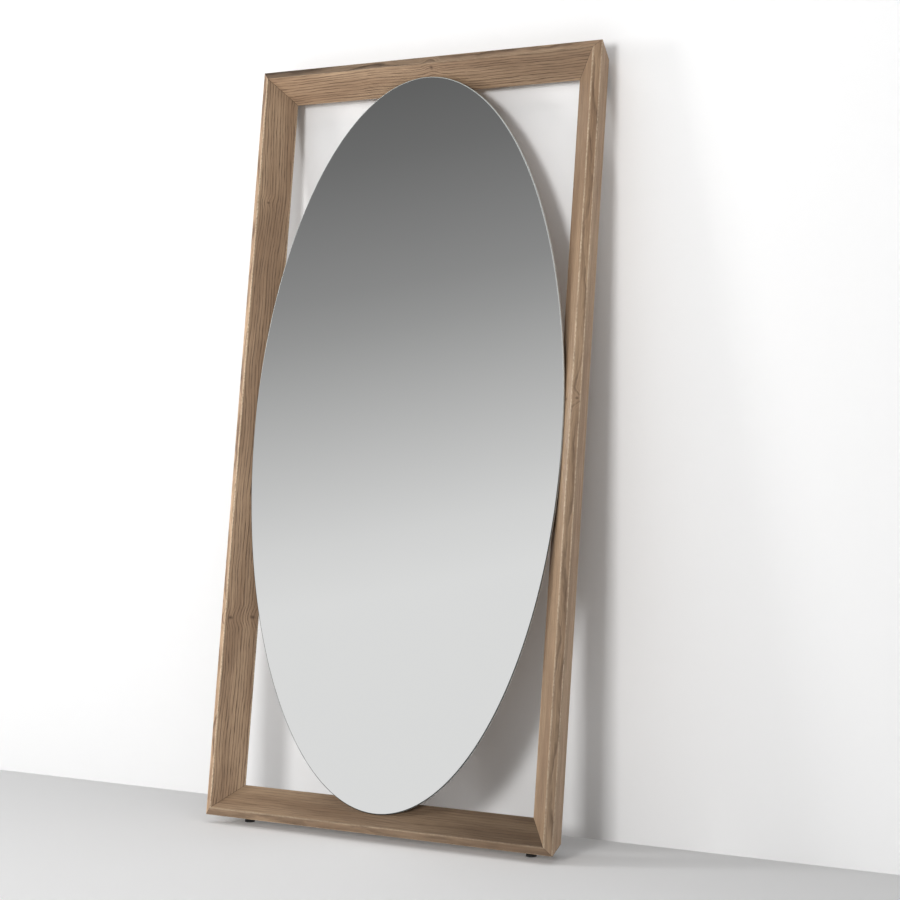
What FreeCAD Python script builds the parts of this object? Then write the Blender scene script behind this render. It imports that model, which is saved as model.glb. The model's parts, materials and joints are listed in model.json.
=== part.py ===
import FreeCAD, Part
import math
import os
import Sketcher

# Leaning floor mirror: a mitred solid-wood frame with splayed inner faces, an elliptical
# mirror on an oval board inside it, and two levelling feet under the bottom rail.
#
# Three sets of axes are used, all in millimetres:
#   world  +Z up, the floor at Z = 0, the wall behind at +Y, the mirror facing -Y
#   frame  the same axes before the lean: y from the front ridge, z from the bottom edge
#   member u inward from the frame's outer edge, v back from the ridge, w along the member

SIZES = [
    ("frame_width", 1000, "outside width of the frame"),
    ("frame_height", 1970, "outside height, measured along the lean"),
    ("lean_angle", 7, "lean of the frame in use, degrees"),
    ("bevel_width", 19.5, "outer edge to ridge"),
    ("bevel_depth", 12, "ridge to outer front edge"),
    ("splay_width", 81.5, "outer edge to inner edge"),
    ("splay_depth", 64, "ridge to inner edge"),
    ("back_inner", 54, "outer edge to inner end of the flat back"),
    ("back_outer", 23, "outer edge to outer end of the flat back"),
    ("frame_depth", 103, "ridge to flat back"),
    ("spline_side", 36, "side of the square mitre spline"),
    ("spline_thickness", 8, "thickness of the mitre spline"),
    ("spline_inset", 42, "outer edges to the spline's centre"),
    ("spline_depth", 58, "ridge to the spline's mid-plane"),
    ("glass_front", 24.5, "ridge to the mirror's face"),
    ("glass_thickness", 5, "thickness of the mirror glass"),
    ("glass_gap", 0.3, "mirror's back edge to the splayed face"),
    ("glass_arris", 0.8, "chamfer around the glass"),
    ("tape_thickness", 1, "thickness of the foam tape"),
    ("tape_width", 25, "width of a tape strip"),
    ("tape_pitch", 140, "spacing of the tape strips"),
    ("tape_margin", 45, "tape end to the board's edge"),
    ("board_thickness", 12, "thickness of the backing board"),
    ("board_setback", 18, "mirror edge to board edge"),
    ("mitre_overcut", 10, "mitre cut beyond the section"),
    ("strap_thickness", 3, "thickness of brackets and corner plates"),
    ("bracket_width", 40, "width of a mirror bracket"),
    ("bracket_reach", 58, "bracket's bend to its end on the board"),
    ("bracket_cover", 0.88, "share of the sloped back that a bracket covers"),
    ("side_bracket_offset", 200, "side brackets from the middle"),
    ("end_bracket_offset", 60, "top and bottom brackets from the middle"),
    ("board_screw_share", 0.62, "board screws' mean place, share of the bracket's reach"),
    ("board_screw_step", 0.12, "board screws from that place, share of the reach"),
    ("slope_screw_share", 0.40, "frame screws' mean place, share of the sloped back"),
    ("slope_screw_step", 0.10, "frame screws from that place, share of the slope"),
    ("plate_leg", 80, "length of a corner plate's leg"),
    ("plate_width", 24, "width of a corner plate's leg"),
    ("plate_inset", 26.5, "outer edges to the corner plate"),
    ("plate_screw_near", 0.45, "inner plate screws, share of the leg"),
    ("plate_screw_far", 0.92, "outer plate screws, share of the leg"),
    ("screw_head_radius", 4, "countersunk head"),
    ("screw_radius", 2, "shank"),
    ("screw_point", 6, "length of the tapered point"),
    ("recess_width", 1, "arm width of the cross recess"),
    ("recess_length", 4.4, "span of the cross recess"),
    ("recess_depth", 1.2, "depth of the cross recess"),
    ("board_screw_length", 13, "bracket to board"),
    ("frame_screw_length", 32, "brackets, plates and bumpers to frame"),
    ("foot_spacing", 820, "between the two feet"),
    ("foot_depth", 82, "ridge to a foot's stud"),
    ("floor_gap", 21, "floor to the frame's lowest edge"),
    ("ball_height", 8.5, "floor to the foot's ball centre"),
    ("ball_radius", 4, "foot's ball"),
    ("socket_radius", 4.2, "socket around the ball"),
    ("base_radius", 13, "foot base and tread"),
    ("base_rim", 2.5, "height of the base's straight rim"),
    ("base_top_radius", 7, "top of the foot base"),
    ("base_top", 2.4, "ball centre to the top of the base"),
    ("tread_thickness", 2.5, "rubber tread"),
    ("tread_chamfer", 0.5, "rubber tread's lower edge"),
    ("neck_radius", 2, "stud's neck in the ball"),
    ("stud_radius", 4, "M8 stud"),
    ("stud_chamfer", 1, "stud's upper end"),
    ("thread_clearance", 0.05, "stud to insert, nut and ball, per side"),
    ("collar_start", 6, "ball centre to the stud's hexagon"),
    ("collar_height", 5, "height of the stud's hexagon"),
    ("collar_flats", 10, "hexagon across flats"),
    ("nut_height", 6.5, "lock nut"),
    ("nut_flats", 13, "lock nut across flats"),
    ("seat_radius", 10, "spot face under the lock nut"),
    ("seat_sink", 0.6, "least depth of the spot face"),
    ("insert_radius", 6, "threaded insert"),
    ("insert_length", 20, "threaded insert"),
    ("stud_overrun", 2, "stud's end beyond the insert"),
    ("stud_travel", 7, "free hole above the stud's end"),
    ("stud_hole_gap", 0.5, "stud to the free hole, per side"),
    ("drill_overrun", 1, "drill past each end of a hole"),
    ("bumper_radius", 11, "wall bumper"),
    ("bumper_thickness", 5, "wall bumper"),
    ("bumper_chamfer", 1, "wall bumper's rim"),
    ("bumper_well_gap", 0.3, "screw head to the bumper's well, per side"),
    ("bumper_spacing", 700, "between the wall bumpers"),
]

doc = FreeCAD.newDocument("leaning_floor_mirror")
sheet = doc.addObject("Spreadsheet::Sheet", "Sizes")
for row, (alias, number, meaning) in enumerate(SIZES, start=1):
    sheet.set(f"A{row}", alias)
    sheet.set(f"B{row}", str(number))
    sheet.set(f"C{row}", meaning)
    sheet.setAlias(f"B{row}", alias)
doc.recompute()

size = {alias: float(sheet.get(alias)) for alias, _, _ in SIZES}
subparts = []

Vector = FreeCAD.Vector
Rotation = FreeCAD.Rotation
Placement = FreeCAD.Placement


# ---------------------------------------------------------------- places


def evaluate(text):
    """Number that a sheet expression gives."""
    return float(doc.Sizes.evalExpression(text))


BOARD_FRONT = "(Sizes.glass_front + Sizes.glass_thickness + Sizes.tape_thickness)"
BOARD_BACK = f"({BOARD_FRONT} + Sizes.board_thickness)"
ACROSS = "(Sizes.back_inner - Sizes.splay_width)"
BACKWARD = "(Sizes.frame_depth - Sizes.splay_depth)"
SLOPE = f"sqrt({ACROSS} * {ACROSS} + {BACKWARD} * {BACKWARD})"
BEND = f"(Sizes.splay_width + ({BOARD_BACK} - Sizes.splay_depth) * {ACROSS} / {BACKWARD})"
THICK = "Sizes.strap_thickness"

lean = math.radians(size["lean_angle"])
width = size["frame_width"]
height = size["frame_height"]
slope_across = evaluate(ACROSS)
slope_back = evaluate(BACKWARD)
slope_normal = Vector(slope_back, -slope_across, 0).normalize()
back_middle = (size["back_inner"] + size["back_outer"]) / 2

# The frame turns back about X, its lowest edge stands floor_gap above the floor, and the
# origin is midway between the front ridge at the bottom and the wall bumpers at the top.
front_most = size["bevel_width"] * math.sin(lean)
bumper_face = size["frame_depth"] + size["bumper_thickness"]
bumper_top = height - back_middle + size["bumper_radius"] - size["bumper_chamfer"]
back_most = bumper_face * math.cos(lean) + bumper_top * math.sin(lean)
shift_z = size["floor_gap"] + size["bevel_depth"] * math.sin(lean)
LEAN = Placement(
    Vector(0, -(front_most + back_most) / 2, shift_z),
    Rotation(Vector(1, 0, 0), -size["lean_angle"]),
)


def turned(x, z, degrees):
    """Frame-axes placement at (x, 0, z), turned about the depth axis."""
    return Placement(Vector(x, 0, z), Rotation(Vector(0, 1, 0), degrees))


SIDES = {
    "left": turned(-width / 2, height / 2, 0),
    "right": turned(width / 2, height / 2, 180),
    "top": turned(0, height, 90),
    "bottom": turned(0, 0, -90),
}
CORNERS = {
    "bottom_left": turned(-width / 2, 0, 0),
    "bottom_right": turned(width / 2, 0, -90),
    "top_right": turned(width / 2, height, 180),
    "top_left": turned(-width / 2, height, 90),
}


def facing(point, normal):
    """Placement at a point with local +Z along the given normal."""
    return Placement(point, Rotation(Vector(0, 0, 1), normal))


# ---------------------------------------------------------------- helpers


def keep(thing, label):
    """Mark an object as a sub-part that is exported under its label."""
    thing.Label = label
    subparts.append(thing)
    return thing


def bind(thing, **expressions):
    """Bind an object's properties to the sheet."""
    for name, expression in expressions.items():
        thing.setExpression(name, expression)
    return thing


def new_body(name, placement):
    body = doc.addObject("PartDesign::Body", name)
    body.Placement = placement
    return body


def polygon_sketch(body, plane, corners, name):
    """Closed outline on an origin plane; each corner is a pair of sheet expressions."""
    sketch = body.newObject("Sketcher::SketchObject", name)
    support = next(f for f in body.Origin.OriginFeatures if f.Role == plane)
    sketch.AttachmentSupport = [(support, "")]
    sketch.MapMode = "FlatFace"
    points = [Vector(evaluate(x), evaluate(y), 0) for x, y in corners]
    following = points[1:] + points[:1]
    for point, after in zip(points, following):
        sketch.addGeometry(Part.LineSegment(point, after), False)
    for index in range(len(points)):
        after = (index + 1) % len(points)
        sketch.addConstraint(Sketcher.Constraint("Coincident", index, 2, after, 1))
    for index, (x, y) in enumerate(corners):
        for kind, text in (("DistanceX", x), ("DistanceY", y)):
            rule = Sketcher.Constraint(kind, -1, 1, index, 1, evaluate(text))
            place = sketch.addConstraint(rule)
            if "Sizes" in text:
                sketch.setExpression(f"Constraints[{place}]", text)
    return sketch


def pad(body, sketch, length, symmetric=False):
    feature = body.newObject("PartDesign::Pad", body.Name + "_pad")
    feature.Profile = sketch
    feature.SideType = "Symmetric" if symmetric else "One side"
    return bind(feature, Length=length)


def revolve(name, placement, corners):
    """Body of revolution about local Z from an outline of (radius, height) pairs."""
    body = new_body(name, placement)
    sketch = polygon_sketch(body, "XZ_Plane", corners, name + "_outline")
    feature = body.newObject("PartDesign::Revolution", name + "_turned")
    feature.Profile = sketch
    feature.ReferenceAxis = (sketch, ["V_Axis"])
    feature.Angle = 360
    return body


def cut(name, base, tool):
    feature = doc.addObject("Part::Cut", name)
    feature.Base = base
    feature.Tool = tool
    return feature


def group(name, things):
    feature = doc.addObject("Part::Compound", name)
    feature.Links = things
    return feature


# ---------------------------------------------------------------- fasteners


def screw_pattern(name, length, places):
    """One node of identical countersunk screws; local +Z points out of the head.

    Returns the screws' outer shapes, without recesses, which cut what they go through.
    """
    blank = revolve(name + "_blank", Placement(), [
        ("0", "0"),
        ("Sizes.screw_head_radius", "0"),
        ("Sizes.screw_radius", "Sizes.screw_radius - Sizes.screw_head_radius"),
        ("Sizes.screw_radius", f"Sizes.screw_point - {length}"),
        ("0", f"-{length}"),
    ])
    arms = []
    for turn in (0, 90):
        arm = doc.addObject("Part::Box", f"{name}_recess_arm_{turn}")
        bind(arm, Length="Sizes.recess_length", Width="Sizes.recess_width", Height="2 * Sizes.recess_depth")
        corner = Vector(-size["recess_length"] / 2, -size["recess_width"] / 2, -size["recess_depth"])
        about = Placement(Vector(), Rotation(Vector(0, 0, 1), turn))
        arm.Placement = about.multiply(Placement(corner, Rotation()))
        arms.append(arm)
    recess = doc.addObject("Part::Fuse", name + "_recess")
    recess.Base, recess.Tool = arms
    screw = cut(name + "_single", blank, recess)
    doc.recompute()
    keep(repeated(name, screw.Shape, places), name)
    return repeated(name + "_holes", blank.Shape, places)


def repeated(name, shape, places):
    """Separate copies of one shape, each at a place given in frame axes."""
    copies = []
    for place in places:
        copy = shape.copy()
        copy.Placement = LEAN.multiply(place).multiply(copy.Placement)
        copies.append(copy)
    feature = doc.addObject("Part::Feature", name)
    feature.Shape = Part.makeCompound(copies)
    return feature


BRACKETS = {}
for edge in ("left", "right"):
    for end, sign in (("lower", -1), ("upper", 1)):
        across = size["side_bracket_offset"] * sign * (1 if edge == "left" else -1)
        BRACKETS[f"{edge}_{end}"] = (edge, across)
for edge in ("top", "bottom"):
    for end, sign in (("left", -1), ("right", 1)):
        across = size["end_bracket_offset"] * sign * (1 if edge == "top" else -1)
        BRACKETS[f"{edge}_{end}"] = (edge, across)


def bracket_screw_places():
    """Screw places on every bracket: two into the board and two into the frame."""
    to_board = []
    to_frame = []
    for edge, across in BRACKETS.values():
        for side_step in (-1, 1):
            w = across + side_step * size["bracket_width"] / 4
            share = size["board_screw_share"] + side_step * size["board_screw_step"]
            u = evaluate(BEND) + share * size["bracket_reach"]
            head = Vector(u, evaluate(BOARD_BACK) + size["strap_thickness"], w)
            to_board.append(SIDES[edge].multiply(facing(head, Vector(0, 1, 0))))
            share = size["slope_screw_share"] + side_step * size["slope_screw_step"]
            start = Vector(size["splay_width"], size["splay_depth"], w)
            head = start + Vector(slope_across, slope_back, 0) * share + slope_normal * size["strap_thickness"]
            to_frame.append(SIDES[edge].multiply(facing(head, slope_normal)))
    return to_board, to_frame


def plate_screw_places():
    """Screw places on every corner plate: two along each leg."""
    places = []
    middle = size["plate_inset"] + size["plate_width"] / 2
    for corner in CORNERS.values():
        for share in (size["plate_screw_near"], size["plate_screw_far"]):
            far = size["plate_inset"] + share * size["plate_leg"]
            for x, z in ((far, middle), (middle, far)):
                head = Vector(x, size["frame_depth"], z)
                places.append(corner.multiply(facing(head, Vector(0, 1, 0))))
    return places


def bumper_places():
    half = size["bumper_spacing"] / 2
    level = height - back_middle
    spot = {"left": Vector(-half, 0, level), "right": Vector(half, 0, level)}
    return {
        side: facing(point + Vector(0, size["frame_depth"], 0), Vector(0, 1, 0))
        for side, point in spot.items()
    }


to_board, to_frame = bracket_screw_places()
bumper_well = Placement(Vector(0, 0, size["bumper_thickness"] / 2), Rotation())
to_bumpers = [place.multiply(bumper_well) for place in bumper_places().values()]
board_holes = screw_pattern("bracket_board_screws", "Sizes.board_screw_length", to_board)
frame_holes = screw_pattern("bracket_frame_screws", "Sizes.frame_screw_length", to_frame)
plate_holes = screw_pattern("corner_plate_screws", "Sizes.frame_screw_length", plate_screw_places())
bumper_holes = screw_pattern("wall_bumper_screws", "Sizes.frame_screw_length", to_bumpers)


# ---------------------------------------------------------------- levelling feet

BALL_LEVEL = (
    "((Sizes.ball_height - Sizes.floor_gap + (Sizes.foot_depth - Sizes.bevel_depth) * sin(Sizes.lean_angle))"
    " / cos(Sizes.lean_angle))"
)
SEAT = (
    "((Sizes.foot_depth - Sizes.bevel_depth + Sizes.seat_radius) * Sizes.back_outer"
    f" / (Sizes.frame_depth - Sizes.bevel_depth) + Sizes.seat_sink - {BALL_LEVEL})"
)
INSERT_TOP = f"({SEAT} + Sizes.insert_length)"
STUD_TOP = f"({INSERT_TOP} + Sizes.stud_overrun)"
BORE = "(Sizes.stud_radius + Sizes.thread_clearance)"
STUD_HOLE = "(Sizes.stud_radius + Sizes.stud_hole_gap)"


def hexagon(name, placement, flats, tall):
    prism = doc.addObject("Part::Prism", name)
    prism.Polygon = 6
    prism.Placement = placement
    return bind(prism, Circumradius=f"{flats} / sqrt(3)", Height=tall)


def bored(name, placement, base, radius, tall):
    """Base with a round hole through it along the local axis."""
    drill = doc.addObject("Part::Cylinder", name + "_drill")
    drill.Placement = placement.multiply(Placement(Vector(0, 0, -size["drill_overrun"]), Rotation()))
    bind(drill, Radius=radius, Height=f"{tall} + 2 * Sizes.drill_overrun")
    return cut(name, base, drill)


def foot(side, x):
    """Insert, lock nut, stud, ball, base and tread of one foot; returns the rail's bore."""
    axis = LEAN.multiply(Placement(Vector(x, size["foot_depth"], evaluate(BALL_LEVEL)), Rotation()))
    upright = Placement(axis.Base, Rotation())
    seat = evaluate(SEAT)

    insert_at = axis.multiply(Placement(Vector(0, 0, seat), Rotation()))
    sleeve = doc.addObject("Part::Cylinder", f"insert_sleeve_{side}")
    sleeve.Placement = insert_at
    bind(sleeve, Radius="Sizes.insert_radius", Height="Sizes.insert_length")
    keep(bored(f"insert_{side}", insert_at, sleeve, BORE, "Sizes.insert_length"), f"foot_insert_{side}")

    nut_at = axis.multiply(Placement(Vector(0, 0, seat - size["nut_height"]), Rotation()))
    blank = hexagon(f"nut_blank_{side}", nut_at, "Sizes.nut_flats", "Sizes.nut_height")
    keep(bored(f"nut_{side}", nut_at, blank, BORE, "Sizes.nut_height"), f"foot_nut_{side}")

    rod = revolve(f"rod_{side}", axis, [
        ("0", "-Sizes.neck_radius"),
        ("Sizes.neck_radius", "-Sizes.neck_radius"),
        ("Sizes.neck_radius", "Sizes.collar_start"),
        ("Sizes.stud_radius", "Sizes.collar_start"),
        ("Sizes.stud_radius", f"{STUD_TOP} - Sizes.stud_chamfer"),
        ("Sizes.stud_radius - Sizes.stud_chamfer", STUD_TOP),
        ("0", STUD_TOP),
    ])
    collar_at = axis.multiply(Placement(Vector(0, 0, size["collar_start"]), Rotation()))
    collar = hexagon(f"collar_{side}", collar_at, "Sizes.collar_flats", "Sizes.collar_height")
    stud = doc.addObject("Part::Fuse", f"stud_{side}")
    stud.Base = rod
    stud.Tool = collar
    keep(stud, f"foot_stud_{side}")

    sphere = doc.addObject("Part::Sphere", f"ball_blank_{side}")
    sphere.Placement = axis
    bind(sphere, Radius="Sizes.ball_radius")
    neck_hole = doc.addObject("Part::Cylinder", f"ball_hole_{side}")
    hole_start = -size["neck_radius"] - size["thread_clearance"]
    neck_hole.Placement = axis.multiply(Placement(Vector(0, 0, hole_start), Rotation()))
    bind(neck_hole, Radius="Sizes.neck_radius + Sizes.thread_clearance", Height="2 * Sizes.ball_radius")
    keep(cut(f"ball_{side}", sphere, neck_hole), f"foot_ball_{side}")

    base_bottom = "(Sizes.tread_thickness - Sizes.ball_height)"
    cup = revolve(f"cup_{side}", upright, [
        ("0", base_bottom),
        ("Sizes.base_radius", base_bottom),
        ("Sizes.base_radius", f"{base_bottom} + Sizes.base_rim"),
        ("Sizes.base_top_radius", "Sizes.base_top"),
        ("0", "Sizes.base_top"),
    ])
    socket = doc.addObject("Part::Sphere", f"socket_{side}")
    socket.Placement = upright
    bind(socket, Radius="Sizes.socket_radius")
    keep(cut(f"base_{side}", cup, socket), f"foot_base_{side}")

    keep(revolve(f"tread_{side}", upright, [
        ("0", "-Sizes.ball_height"),
        ("Sizes.base_radius - Sizes.tread_chamfer", "-Sizes.ball_height"),
        ("Sizes.base_radius", "Sizes.tread_chamfer - Sizes.ball_height"),
        ("Sizes.base_radius", base_bottom),
        ("0", base_bottom),
    ]), f"foot_tread_{side}")

    return revolve(f"foot_bore_{side}", axis, [
        ("0", "Sizes.collar_start"),
        ("Sizes.seat_radius", "Sizes.collar_start"),
        ("Sizes.seat_radius", SEAT),
        ("Sizes.insert_radius", SEAT),
        ("Sizes.insert_radius", INSERT_TOP),
        (STUD_HOLE, INSERT_TOP),
        (STUD_HOLE, f"{STUD_TOP} + Sizes.stud_travel"),
        ("0", f"{STUD_TOP} + Sizes.stud_travel"),
    ])


foot_bores = [
    foot("left", -size["foot_spacing"] / 2),
    foot("right", size["foot_spacing"] / 2),
]


# ---------------------------------------------------------------- frame

splines = []
for corner_name, corner in CORNERS.items():
    spline = doc.addObject("Part::Box", "spline_" + corner_name)
    bind(spline, Length="Sizes.spline_side", Width="Sizes.spline_thickness", Height="Sizes.spline_side")
    inset = size["spline_inset"]
    centre = Placement(Vector(inset, size["spline_depth"], inset), Rotation(Vector(0, 1, 0), 45))
    half_side = size["spline_side"] / 2
    from_centre = Placement(Vector(-half_side, -size["spline_thickness"] / 2, -half_side), Rotation())
    spline.Placement = LEAN.multiply(corner).multiply(centre).multiply(from_centre)
    splines.append(keep(spline, "mitre_spline_" + corner_name))


def corner_plate(corner_name, corner):
    """L-shaped plate let into the frame's flat back; returns the plate without its holes."""
    body = new_body("plate_" + corner_name, LEAN.multiply(corner).multiply(
        Placement(Vector(0, size["frame_depth"], 0), Rotation())
    ))
    near = "Sizes.plate_inset"
    inner = "(Sizes.plate_inset + Sizes.plate_width)"
    far = "(Sizes.plate_inset + Sizes.plate_leg)"
    outline = [(near, near), (far, near), (far, inner), (inner, inner), (inner, far), (near, far)]
    sketch = polygon_sketch(body, "XZ_Plane", outline, f"plate_outline_{corner_name}")
    pad(body, sketch, THICK)
    keep(cut("plate_cut_" + corner_name, body, plate_holes), "corner_plate_" + corner_name)
    return body


plates = [corner_plate(corner_name, corner) for corner_name, corner in CORNERS.items()]


def member(label, edge, length, tools):
    """One mitred frame member, with its mortises, plate recesses, pilot holes and bores."""
    body = new_body(label + "_blank", LEAN.multiply(SIDES[edge]))
    section = polygon_sketch(body, "XY_Plane", [
        ("0", "Sizes.bevel_depth"),
        ("Sizes.bevel_width", "0"),
        ("Sizes.splay_width", "Sizes.splay_depth"),
        ("Sizes.back_inner", "Sizes.frame_depth"),
        ("Sizes.back_outer", "Sizes.frame_depth"),
    ], label + "_section")
    pad(body, section, length, symmetric=True)
    beyond = "(Sizes.splay_width + Sizes.mitre_overcut)"
    for end, sign in (("low", "-"), ("high", "")):
        mitre = polygon_sketch(body, "XZ_Plane", [
            ("0", f"{sign}({length} / 2)"),
            (beyond, f"{sign}({length} / 2 - {beyond})"),
            (beyond, f"{sign}({length} / 2 + Sizes.mitre_overcut)"),
            ("0", f"{sign}({length} / 2 + Sizes.mitre_overcut)"),
        ], f"{label}_mitre_{end}")
        pocket = body.newObject("PartDesign::Pocket", f"{label}_mitre_cut_{end}")
        pocket.Profile = mitre
        pocket.SideType = "Symmetric"
        pocket.Type = "ThroughAll"
    return keep(cut(label + "_cut", body, group(label + "_tools", tools)), label)


common_tools = splines + plates + [frame_holes, plate_holes]
member("stile_left", "left", "Sizes.frame_height", common_tools)
member("stile_right", "right", "Sizes.frame_height", common_tools)
member("rail_top", "top", "Sizes.frame_width", common_tools + [bumper_holes])
member("rail_bottom", "bottom", "Sizes.frame_width", common_tools + foot_bores)


# ---------------------------------------------------------------- mirror

SPLAY_AT_GLASS = (
    "(Sizes.bevel_width + (Sizes.glass_front + Sizes.glass_thickness)"
    " * (Sizes.splay_width - Sizes.bevel_width) / Sizes.splay_depth + Sizes.glass_gap)"
)
HALF_WIDE = f"(Sizes.frame_width / 2 - {SPLAY_AT_GLASS})"
HALF_TALL = f"(Sizes.frame_height / 2 - {SPLAY_AT_GLASS})"


def oval(name, setback, front, thick):
    """Elliptical plate; its long axis runs up the frame and it grows backwards."""
    ellipse = doc.addObject("Part::Ellipse", name + "_outline")
    bind(ellipse, MajorRadius=f"{HALF_TALL} - {setback}", MinorRadius=f"{HALF_WIDE} - {setback}")
    plate = doc.addObject("Part::Extrusion", name + "_plate")
    plate.Base = ellipse
    plate.DirMode = "Custom"
    plate.Dir = Vector(0, 0, 1)
    plate.Solid = True
    bind(plate, LengthFwd=thick)
    upright = Rotation(Vector(1, 1, 1), -120)
    plate.Placement = LEAN.multiply(Placement(Vector(0, front, height / 2), upright))
    return plate


glass_plate = oval("glass", "0", size["glass_front"], "Sizes.glass_thickness")
doc.recompute()
glass = doc.addObject("Part::Chamfer", "glass_polished")
glass.Base = glass_plate
rims = [i for i, edge in enumerate(glass_plate.Shape.Edges, start=1) if edge.isClosed()]
glass.Edges = [(i, size["glass_arris"], size["glass_arris"]) for i in rims]
keep(glass, "mirror_glass")

tape_front = size["glass_front"] + size["glass_thickness"]
board = oval("board", "Sizes.board_setback", evaluate(BOARD_FRONT), "Sizes.board_thickness")
keep(cut("board_drilled", board, board_holes), "backing_board")

board_half_wide = evaluate(HALF_WIDE) - size["board_setback"]
board_half_tall = evaluate(HALF_TALL) - size["board_setback"]
strips = []
for step in range(-2, 3):
    x = step * size["tape_pitch"]
    outer = abs(x) + size["tape_width"] / 2
    run = board_half_tall * math.sqrt(1 - (outer / board_half_wide) ** 2) - size["tape_margin"]
    strip = doc.addObject("Part::Box", f"tape_strip_{step + 3}")
    strip.Height = 2 * run
    bind(strip, Length="Sizes.tape_width", Width="Sizes.tape_thickness")
    strip.Placement = LEAN.multiply(
        Placement(Vector(x - size["tape_width"] / 2, tape_front, height / 2 - run), Rotation())
    )
    strips.append(strip)
keep(group("tape_strips", strips), "foam_tape")


# ---------------------------------------------------------------- brackets

def mirror_bracket(name, edge, across):
    """Bent strap: one leg on the board's back, the other down the member's sloped back."""
    outer_bend = f"({BEND} + {THICK} * ({SLOPE} + {ACROSS}) / {BACKWARD})"
    tip_u = f"(Sizes.splay_width + Sizes.bracket_cover * {ACROSS})"
    tip_v = f"(Sizes.splay_depth + Sizes.bracket_cover * {BACKWARD})"
    outline = [
        (f"{BEND} + Sizes.bracket_reach", BOARD_BACK),
        (BEND, BOARD_BACK),
        (tip_u, tip_v),
        (f"{tip_u} + {THICK} * {BACKWARD} / {SLOPE}", f"{tip_v} - {THICK} * {ACROSS} / {SLOPE}"),
        (outer_bend, f"{BOARD_BACK} + {THICK}"),
        (f"{BEND} + Sizes.bracket_reach", f"{BOARD_BACK} + {THICK}"),
    ]
    along = Placement(Vector(0, 0, across), Rotation())
    body = new_body("strap_" + name, LEAN.multiply(SIDES[edge]).multiply(along))
    sketch = polygon_sketch(body, "XY_Plane", outline, "strap_outline_" + name)
    pad(body, sketch, "Sizes.bracket_width", symmetric=True)
    holes = group("strap_screws_" + name, [board_holes, frame_holes])
    keep(cut("strap_cut_" + name, body, holes), "mirror_bracket_" + name)


for name, (edge, across) in BRACKETS.items():
    mirror_bracket(name, edge, across)


# ---------------------------------------------------------------- wall bumpers


def wall_bumper(side, place):
    full = "Sizes.bumper_thickness"
    half = "(Sizes.bumper_thickness / 2)"
    well = "(Sizes.screw_head_radius + Sizes.bumper_well_gap)"
    pad_body = revolve(f"bumper_{side}", LEAN.multiply(place), [
        ("0", "0"),
        ("Sizes.bumper_radius", "0"),
        ("Sizes.bumper_radius", f"{full} - Sizes.bumper_chamfer"),
        ("Sizes.bumper_radius - Sizes.bumper_chamfer", full),
        (well, full),
        (well, half),
        ("0", half),
    ])
    keep(cut(f"bumper_cut_{side}", pad_body, bumper_holes), "wall_bumper_" + side)


for side, place in bumper_places().items():
    wall_bumper(side, place)


# ---------------------------------------------------------------- check and write

doc.recompute()
for thing in doc.Objects:
    if {"Invalid", "Error"} & set(thing.State):
        raise RuntimeError(f"{thing.Label} did not compute: {thing.State}")
for thing in subparts:
    if thing.Shape.isNull() or not thing.Shape.isValid() or not thing.Shape.Solids:
        raise RuntimeError(f"{thing.Label} has no valid solid")

os.makedirs("parts", exist_ok=True)
for thing in subparts:
    thing.Shape.exportStep(f"parts/{thing.Label}.step")
    box = thing.Shape.BoundBox
    print(f"{thing.Label}: {len(thing.Shape.Solids)} solids, {thing.Shape.Volume / 1000:.1f} cm3, "
          f"{box.XLength:.1f} x {box.YLength:.1f} x {box.ZLength:.1f}")
whole = Part.makeCompound([thing.Shape for thing in subparts]).BoundBox
print(f"whole: {whole}")
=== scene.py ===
import json
import math
from functools import reduce

import bmesh
import bpy
from mathutils import Matrix, Vector

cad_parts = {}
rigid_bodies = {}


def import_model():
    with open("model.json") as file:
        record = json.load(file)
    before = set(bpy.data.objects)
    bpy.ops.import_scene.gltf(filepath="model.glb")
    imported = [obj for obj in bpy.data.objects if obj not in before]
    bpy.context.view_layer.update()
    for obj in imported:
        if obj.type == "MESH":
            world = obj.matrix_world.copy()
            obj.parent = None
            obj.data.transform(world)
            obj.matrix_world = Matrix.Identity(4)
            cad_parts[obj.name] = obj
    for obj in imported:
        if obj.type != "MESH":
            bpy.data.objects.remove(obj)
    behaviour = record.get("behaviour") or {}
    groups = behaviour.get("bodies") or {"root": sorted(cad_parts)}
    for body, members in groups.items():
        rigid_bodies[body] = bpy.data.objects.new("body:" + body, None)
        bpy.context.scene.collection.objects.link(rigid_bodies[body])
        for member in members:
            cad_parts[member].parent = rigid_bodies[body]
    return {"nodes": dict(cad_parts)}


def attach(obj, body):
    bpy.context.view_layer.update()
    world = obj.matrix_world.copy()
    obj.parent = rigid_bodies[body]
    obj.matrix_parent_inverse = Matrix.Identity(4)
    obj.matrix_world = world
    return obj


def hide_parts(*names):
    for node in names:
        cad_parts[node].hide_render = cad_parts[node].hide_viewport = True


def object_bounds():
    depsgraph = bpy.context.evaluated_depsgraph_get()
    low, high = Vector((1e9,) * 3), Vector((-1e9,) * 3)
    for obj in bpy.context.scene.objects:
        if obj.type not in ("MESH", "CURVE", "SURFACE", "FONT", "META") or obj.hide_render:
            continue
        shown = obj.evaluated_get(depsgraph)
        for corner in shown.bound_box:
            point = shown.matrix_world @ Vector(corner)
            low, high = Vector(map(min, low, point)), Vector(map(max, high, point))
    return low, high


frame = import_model()
nodes = frame["nodes"]
cad_low, cad_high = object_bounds()

# Leaning floor mirror: a splayed solid-wood frame round an elliptical mirror.
# All lengths are metres. Frame axes are the world's before the lean: y runs back from the
# frame's front ridge and z up from its bottom edge. Member axes are u inward from the frame's
# outer edge, v back from the ridge and w along the member from its middle.

LEAN = math.radians(7)
BODY = "frame"

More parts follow.
